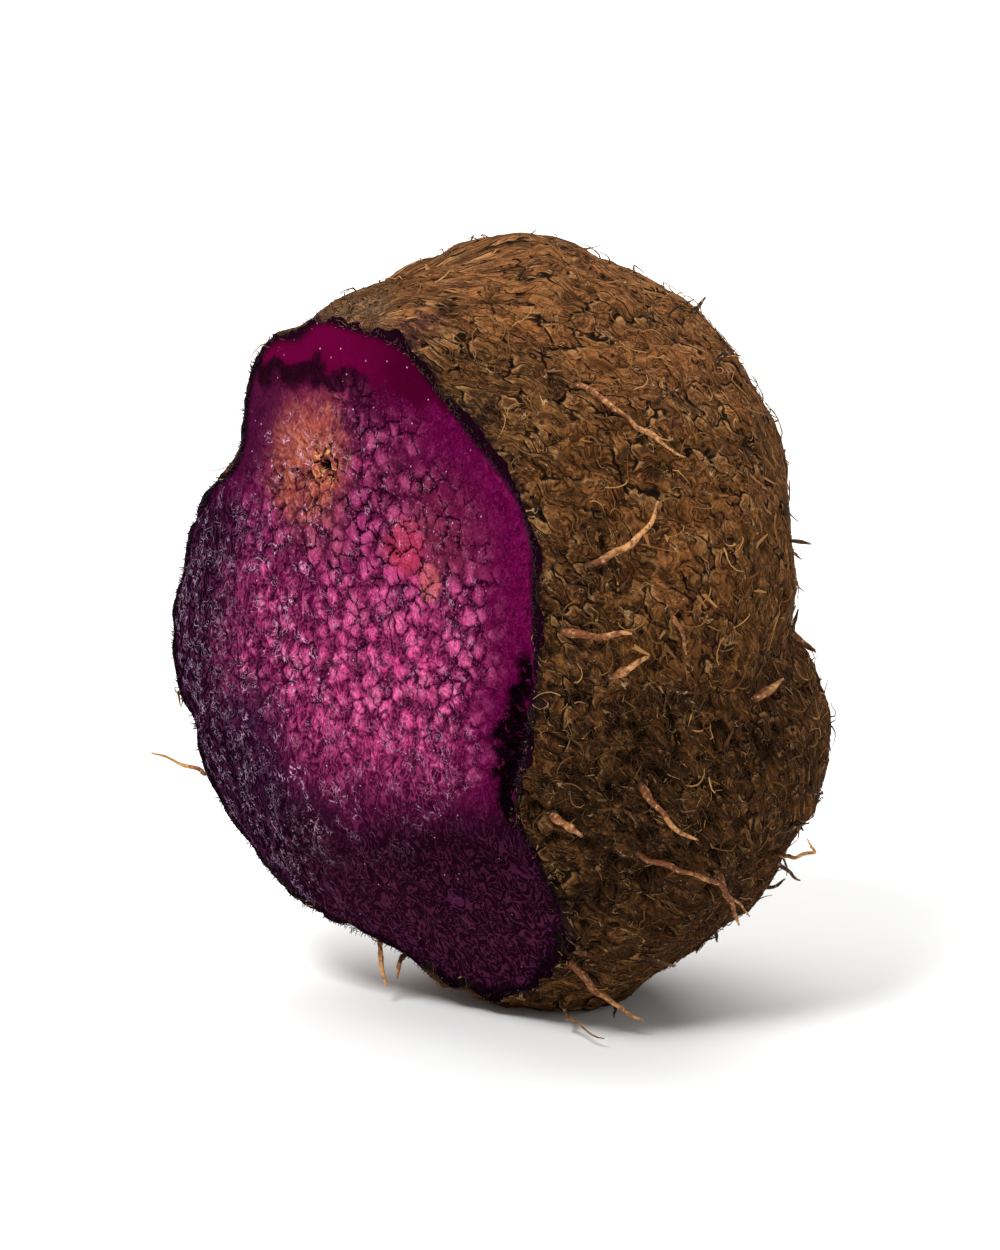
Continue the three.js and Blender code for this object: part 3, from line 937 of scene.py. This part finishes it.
def flesh_patterns(p):
    """What the flesh's material needs to know at a point of its surface."""
    right, up = face_place(p)
    heights = cut_heights(right, up)
    on_cut = over_cut(right, up) + FACE_OUT * face_height(heights)
    under = depth_under_bark(on_cut)
    shares = facet_shares(heights)
    return {
        "under_bark": under,
        "grain_share": graininess(shares, on_cut, under),
        "groove": groove_share(right, on_cut, under),
        "facets": (shares[4], shares[1] + shares[2], shares[3]),
    }


# What the flesh's patterns are on the bark, where nothing reads them.
NO_FLESH = {"under_bark": 0, "grain_share": 0, "groove": 0, "facets": (0, 0, 0)}


def store_patterns(mesh):
    """Stores the bark's and the flesh's patterns at each corner of the tuber's mesh."""
    on_flesh = set()
    for polygon in mesh.polygons:
        if polygon.material_index == FLESH:
            on_flesh.update(polygon.vertices)
    rows = []
    for corner in mesh.vertices:
        p = corner.co / MM
        direction = (p - HEART).normalized()
        smooth = HEART + direction * bark_radius(direction)
        row = {"grain": grain_place(smooth), "pit": pit_share(smooth), "to_cut": -outside_cuts(smooth)}
        row.update(flesh_patterns(p) if corner.index in on_flesh else NO_FLESH)
        rows.append(row)
    for name in rows[0]:
        store(mesh, name, [row[name] for row in rows])


def make_tuber():
    """The bark body and the flesh block's shared part, as one closed piece with a crisp rim."""
    body, block = bark_body(), flesh_block()
    for solid, slot in ((body, BARK), (block, FLESH)):
        solid.data.materials.append(dried_skin)
        solid.data.materials.append(raw_flesh)
        solid.data.polygons.foreach_set("material_index", [slot] * len(solid.data.polygons))
    share = body.modifiers.new("share", "BOOLEAN")
    share.operation = "INTERSECT"
    share.solver = "MANIFOLD"
    share.object = block
    shared = as_it_stands(body)
    for solid in (body, block):
        bpy.data.objects.remove(solid)

    form = bmesh.new()
    form.from_mesh(shared)
    bmesh.ops.triangulate(form, faces=[face for face in form.faces if len(face.verts) > 4])
    for face in form.faces:
        face.smooth = True
    for edge in form.edges:
        edge.smooth = len({face.material_index for face in edge.link_faces}) == 1
    form.to_mesh(shared)
    form.free()
    store_patterns(shared)
    return new_object("tuber_cut", shared)


# ---- Hairs and rootlets ----

# Flat sides round a hair and round a rootlet.
HAIR_SIDES, ROOT_SIDES = 4, 8
# Corners closer than this, in millimetres, are one.
SAME_PLACE = 0.002


def strands_piece(name, strands, sides, material):
    """Tapering tubes along lists of (place, radius) in millimetres, as one mesh of closed tubes."""
    curve = bpy.data.curves.new(name, "CURVE")
    curve.dimensions = "3D"
    curve.bevel_depth = MM
    curve.bevel_resolution = sides // 2 - 2
    curve.use_fill_caps = True
    for strand in strands:
        spline = curve.splines.new("POLY")
        spline.points.add(len(strand) - 1)
        for point, (place, radius) in zip(spline.points, strand):
            point.co = (*(place * MM), 1)
            point.radius = radius
    holder = new_object(name, curve)
    mesh = as_it_stands(holder)
    bpy.data.objects.remove(holder)
    form = bmesh.new()
    form.from_mesh(mesh)
    bmesh.ops.remove_doubles(form, verts=form.verts, dist=SAME_PLACE * MM)
    for face in form.faces:
        face.smooth = True
    form.to_mesh(mesh)
    form.free()
    mesh.materials.clear()
    mesh.materials.append(material)
    return new_object(name, mesh)


# Hairs and chips keep this far off the table.
OFF_TABLE = 0.2


def over_bark(direction, rise):
    """The point that rises this far over the bark with its relief, kept off the table."""
    smooth = HEART + direction * bark_radius(direction)
    place = smooth + direction * (bark_relief(smooth) + rise)
    place.z = max(place.z, OFF_TABLE)
    return place


def feet(draw, measures):
    """Random feet on the smooth bark, clear of the cut and the table, each with the way out of it."""
    while True:
        out = direction_of(draw.uniform(-180, 180), math.degrees(math.asin(draw.uniform(-1, 1))))
        foot = HEART + out * bark_radius(out)
        if outside_cuts(foot) < -measures["from_cut"] and foot.z >= measures["from_table"]:
            yield out, foot


def growth_along(p):
    """The way the hairs run at a point of the bark."""
    out = (p - HEART).normalized()
    return (GROWTH - out * GROWTH.dot(out)).normalized()


def lying_along(draw, foot, out, spread):
    """A way along the bark: with its growth or against it, give or take the spread in degrees."""
    along = growth_along(foot)
    along.rotate(Quaternion(out, math.radians(draw.gauss(180 * draw.randint(0, 1), spread))))
    return along


# The felt's pieces, with this many hairs in each.
FELT = {
    "pieces": 2, "count": 4600, "seed": 100, "from_cut": 0.6, "from_table": 3,
    "length": (1.2, 3.2), "radius": (0.07, 0.13),
}


def felt_strand(draw, foot, matted):
    """A hair that lies along the bark, bent to one side, with its tip a little up."""
    out = (foot - HEART).normalized()
    along = lying_along(draw, foot, out, 22 + 55 * matted)
    side = out.cross(along) * draw.uniform(-0.9, 0.9)
    shortest, longest = FELT["length"]
    length = draw.uniform(shortest, longest + 0.8 * matted) * smooth_step(-1, 7, -outside_cuts(foot))
    radius = draw.uniform(*FELT["radius"])
    lift = abs(draw.gauss(0, 0.16)) + 0.15 * matted * draw.random()
    strand = []
    for share in (0, 0.5, 1):
        p = foot + (along * share + side * share * share) * length
        rise = lift * share - 0.35 * (share == 0)
        strand.append((over_bark((p - HEART).normalized(), rise), radius * (1 - 0.55 * share)))
    return strand


def felt_strands(seed):
    """Root hairs that mat the bark. They are few on the crown and thick on the low lobe."""
    draw = random.Random(seed)
    places = feet(draw, FELT)
    strands = []
    while len(strands) < FELT["count"]:
        _, foot = next(places)
        matted = matted_share(foot)
        if draw.random() < 0.15 + 0.85 * matted:
            strands.append(felt_strand(draw, foot, matted))
    return strands


# Measures in millimetres, and the curl in radians.
WISPS = {
    "count": 700, "seed": 21, "from_cut": 2, "from_table": 8,
    "length": (2, 6.5), "curl": (-1.9, 1.9), "rise": (0.2, 1.3), "radius": (0.09, 0.2),
}


def wisp_strands():
    """Longer loose hairs that curl off the bark."""
    draw = random.Random(WISPS["seed"])
    strands = []
    for out, foot in islice(feet(draw, WISPS), WISPS["count"]):
        along = growth_along(foot)
        along.rotate(Quaternion(out, draw.uniform(-math.pi, math.pi)))
        side = out.cross(along)
        measures = ("length", "curl", "rise", "radius")
        length, curl, rise, radius = (draw.uniform(*WISPS[measure]) for measure in measures)
        strand = []
        for step in range(6):
            share = step / 5
            p = foot + (along * math.cos(curl * share) + side * math.sin(curl * share)) * length * share
            height = rise * math.sin(math.pi * (0.15 + 0.6 * share)) - 0.6 * (step == 0)
            strand.append((over_bark((p - HEART).normalized(), height), radius * (1 - 0.6 * share)))
        strands.append(strand)
    return strands


# The rim is this far from the middle of the broad cut, and it is found by this many halvings.
RIM_WITHIN = (5, 110)
RIM_HALVINGS = 18


def rim_point(draw):
    """A point on the rim of the cut, and the way out across it."""
    angle = draw.uniform(0, 2 * math.pi)
    near, far = RIM_WITHIN
    for _ in range(RIM_HALVINGS):
        middle = (near + far) / 2
        right, up = middle * math.cos(angle), middle * math.sin(angle)
        p = over_cut(right, up) + FACE_OUT * face_height(cut_heights(right, up))
        if depth_under_bark(p) > 0:
            near = middle
        else:
            far = middle
    return p, FACE_RIGHT * math.cos(angle) + FACE_UP * math.sin(angle)


# Measures in millimetres, the spread in degrees, and the bends as shares of the length.
PEELINGS = {
    "count": 1000, "seed": 33, "from_cut": 1.5, "from_table": 5, "spread": 40,
    "bends": (0.12, 0.3, 0.55), "length": (1.2, 3.8), "width": (0.4, 1.1), "sunk": 0.2,
}


def peeling_form(bend):
    """A chip of bark, all its sides of length 1: it narrows and bends up towards its free end."""
    form = bmesh.new()
    bmesh.ops.create_cube(form, size=1)
    lengthwise = [edge for edge in form.edges if abs(edge.verts[0].co.x - edge.verts[1].co.x) > 0.5]
    bmesh.ops.subdivide_edges(form, edges=lengthwise, cuts=3)
    for corner in form.verts:
        share = corner.co.x + 0.5
        corner.co.x = share
        corner.co.y *= 1 - 0.7 * share
        corner.co.z = 0.12 * corner.co.z * (1 - 0.6 * share) + bend * share * share
    mesh = bpy.data.meshes.new("peeling")
    form.to_mesh(mesh)
    form.free()
    return mesh


def make_peelings():
    """Chips of loose bark, each fast at one end and lifted at the other."""
    draw = random.Random(PEELINGS["seed"])
    kinds = [peeling_form(bend) for bend in PEELINGS["bends"]]
    form = bmesh.new()
    for out, foot in islice(feet(draw, PEELINGS), PEELINGS["count"]):
        along = lying_along(draw, foot, out, PEELINGS["spread"])
        side = out.cross(along)
        length, width = draw.uniform(*PEELINGS["length"]), draw.uniform(*PEELINGS["width"])
        axes = Matrix((along * length, side * width, out * length * 0.6)).transposed().to_4x4()
        first = len(form.verts)
        form.from_mesh(draw.choice(kinds))
        form.verts.ensure_lookup_table()
        place = Matrix.Translation(over_bark(out, -PEELINGS["sunk"]) * MM) @ Matrix.Scale(MM, 4) @ axes
        bmesh.ops.transform(form, matrix=place, verts=form.verts[first:])
    bmesh.ops.recalc_face_normals(form, faces=form.faces)
    piece = formed("peelings", form)
    piece.data.materials.append(loose_bark)
    return piece


FRINGE = {"count": 2600, "seed": 5, "from_table": 2.5, "length": (0.4, 1.2), "radius": (0.06, 0.12)}


def fringe_strands():
    """Short dark threads of torn bark and dried sap that bristle all round the rim."""
    draw = random.Random(FRINGE["seed"])
    strands = []
    while len(strands) < FRINGE["count"]:
        p, outward = rim_point(draw)
        if p.z < FRINGE["from_table"]:
            continue
        lean = outward * draw.uniform(-0.2, 1) + FACE_OUT * draw.uniform(0.1, 0.7)
        lean += (FACE_RIGHT * draw.gauss(0, 1) + FACE_UP * draw.gauss(0, 1)) * 0.5
        length = draw.uniform(*FRINGE["length"])
        root = p - outward * draw.uniform(-0.2, 1.2) - FACE_OUT * 0.3
        middle = root + lean.normalized() * length * 0.6
        tip = middle + (lean.normalized() + outward * 0.4).normalized() * length * 0.5
        radius = draw.uniform(*FRINGE["radius"])
        strands.append([(root, radius), (middle, radius * 0.8), (tip, radius * 0.45)])
    return strands


def smooth_path(stations, steps):
    """Points along a Catmull-Rom curve through the stations."""
    ends = [2 * stations[0] - stations[1], *stations, 2 * stations[-1] - stations[-2]]
    points = []
    for i in range(len(stations) - 1):
        a, b, c, d = ends[i : i + 4]
        for step in range(steps + (i == len(stations) - 2)):
            t = step / steps
            square, cube = 2 * a - 5 * b + 4 * c - d, 3 * b - a - 3 * c + d
            points.append(0.5 * (2 * b + (c - a) * t + square * t * t + cube * t**3))
    return points


# Steps of a rootlet from one station to the next.
ROOT_STEPS = 7


def gnarled(stations, thick, seed):
    """A rootlet's strand: the path with small bends, thinner towards its tip and knotted."""
    points = smooth_path(stations, ROOT_STEPS)
    strand = []
    for i, p in enumerate(points):
        share = i / (len(points) - 1)
        bend = Vector(noise.noise(p / 4 + Vector((seed, k, 0))) for k in (0, 17, 34)) * 0.9
        knot = 1 + 0.5 * noise.noise(Vector((seed * 3.7, share * 7, 0)))
        radius = thick / 2 * knot * (1.05 - 0.35 * share - 0.45 * share**6)
        place = p + bend
        place.z = max(place.z, radius + 0.05)
        strand.append((place, radius))
    return strand


def steady_draws(seed):
    """Even draws between 0 and 1, the same as the solid's own."""
    state = seed
    while True:
        state = (state * 1664525 + 1013904223) % 4294967296
        yield state / 4294967296


# These rootlets still have all their dark skin.
DARK_ROOTLETS = {"trailing", "low stub", "barb", "crown twig", "shoulder twig"}
# How thick the rootlets are as a share of the solid's plain tubes, and the strewn stubs as well.
DARK_SLIMNESS = 0.5
PALE_SLIMNESS = 0.74
STUB_SLIMNESS = 0.75


def rootlet_strands(dark):
    """The rootlets that stand out, along the solid's own paths: the dark ones or the others."""
    strands = []
    for i, (name, thick, path) in enumerate(ROOTLETS):
        if (name in DARK_ROOTLETS) != dark:
            continue
        places = []
        for turn, lift, rise in path:
            direction = direction_of(turn, lift)
            places.append(HEART + direction * (bark_radius(direction) + rise))
        first = (places[0] - HEART).normalized()
        if dark:
            thick *= DARK_SLIMNESS
        elif "stub" not in name:
            thick *= PALE_SLIMNESS
        strands.append(gnarled([places[0] - first * ROOT_DEPTH, *places], thick, i))
    return strands


def stub_strands():
    """The short stubs, drawn as the solid draws them, with their bark rubbed thin."""
    draws = steady_draws(STUBS["seed"])

    def between(low, high):
        """The next draw, spread from low to high."""
        return low + (high - low) * next(draws)

    strands = []
    while len(strands) < STUBS["count"]:
        turn = between(-180, 180)
        lift = math.degrees(math.asin(between(-1, 1)))
        length, thick = between(*STUBS["length"]), between(*STUBS["thick"])
        slant = math.radians(between(*STUBS["lean"]))
        out = direction_of(turn, lift)
        along = direction_of(turn + 90, between(-80, 80))
        along = (along - out * along.dot(out)).normalized()
        foot = HEART + out * bark_radius(out)
        if -outside_cuts(foot) < STUBS["from_cut"] or foot.z < STUBS["from_table"]:
            continue
        tip = foot + out * length * math.cos(slant) + along * length * math.sin(slant)
        strands.append(gnarled([foot - out * ROOT_DEPTH, foot, tip], STUB_SLIMNESS * thick, len(strands)))
    return strands


def store_proudness(piece):
    """Stores how far each corner of a rootlet stands over the bark, in millimetres."""
    store(piece.data, "proud", [-depth_under_bark(corner.co / MM) for corner in piece.data.vertices])


# ---- Putting the yam together ----

dried_skin = bark_material()
raw_flesh = flesh_material()
root_hair = hair_material("dry root hair", "#2f1c0d", "#75502b", 0.06)
pale_hair = hair_material("pale root fibre", "#472a13", "#a5753f", 0.25)
loose_bark = hair_material("peeling cork", "#23140a", "#99673a", 0.1)
torn_edge = hair_material("torn dark edge", "#140a10", "#3c2434", 0.04)
bright_root = root_material("stiff dried root", "#7a4728", "#cf965e", 0.45)
earthy_root = root_material("earthy root stub", "#38240f", "#8a6138", 0.1)

tuber = make_tuber()
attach(tuber, "root")
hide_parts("tuber")

growths = [
    strands_piece(f"felt_{i + 1}", felt_strands(FELT["seed"] + i), HAIR_SIDES, root_hair)
    for i in range(FELT["pieces"])
]
growths.append(strands_piece("wisps", wisp_strands(), HAIR_SIDES, pale_hair))
growths.append(make_peelings())
growths.append(strands_piece("rim_fringe", fringe_strands(), HAIR_SIDES, torn_edge))
rootlets = strands_piece("rootlets", rootlet_strands(False), ROOT_SIDES, bright_root)
dark_rootlets = strands_piece("dark_rootlets", rootlet_strands(True), ROOT_SIDES, earthy_root)
root_stubs = strands_piece("root_stubs", stub_strands(), ROOT_SIDES, earthy_root)
for piece in (rootlets, dark_rootlets, root_stubs):
    store_proudness(piece)
    growths.append(piece)
for growth in growths:
    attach(growth, "root")

# ---- Floor, light and camera ----

# The camera looks at this point, in metres, and this much shows from top to bottom there.
AIM = Vector((-0.0095, -0.005, 0.0727))
CAMERA_DISTANCE = 1.1
CAMERA_ELEVATION = 12
FRAME_HEIGHT = 0.2344
SENSOR_HEIGHT = 36
FLOOR_HALF_WIDTH = 6


def make_floor():
    """A white board, wide enough to fill the view behind the yam."""
    form = bmesh.new()
    bmesh.ops.create_grid(form, x_segments=1, y_segments=1, size=FLOOR_HALF_WIDTH)
    mesh = bpy.data.meshes.new("floor")
    form.to_mesh(mesh)
    form.free()
    mesh.materials.append(floor_material())
    new_object("floor", mesh)


def make_light(name, place, aim, size, power):
    """A square soft light: its place and the point it lights in metres, and its power in watts."""
    lamp = bpy.data.lights.new(name, "AREA")
    lamp.size = size
    lamp.energy = power
    holder = new_object(name, lamp)
    holder.location = place
    holder.rotation_euler = (Vector(aim) - Vector(place)).to_track_quat("-Z", "Y").to_euler()


def make_camera():
    """A long lens that looks a little down on the yam, with all of it in an upright frame."""
    lens = bpy.data.cameras.new("camera")
    lens.sensor_fit = "VERTICAL"
    lens.sensor_height = SENSOR_HEIGHT
    lens.lens = SENSOR_HEIGHT * CAMERA_DISTANCE / FRAME_HEIGHT
    camera = new_object("camera", lens)
    tilt = math.radians(CAMERA_ELEVATION)
    camera.location = AIM + Vector((0, -math.cos(tilt), math.sin(tilt))) * CAMERA_DISTANCE
    camera.rotation_euler = (math.pi / 2 - tilt, 0, 0)
    bpy.context.scene.camera = camera


make_floor()
make_light("key", (-0.8, -0.9, 1.7), AIM, 0.7, 35)
make_light("fill", (1.3, -0.9, 0.6), AIM, 1.2, 3)
make_light("overhead", (0, 1.7, 1.9), (0, 1.7, 0), 3, 80)
make_camera()

world = bpy.data.worlds.new("studio")
world.use_nodes = True
world.node_tree.nodes["Background"].inputs["Color"].default_value = (1, 1, 1, 1)
world.node_tree.nodes["Background"].inputs["Strength"].default_value = 0.3
bpy.context.scene.world = world
bpy.context.scene.view_settings.view_transform = "Standard"
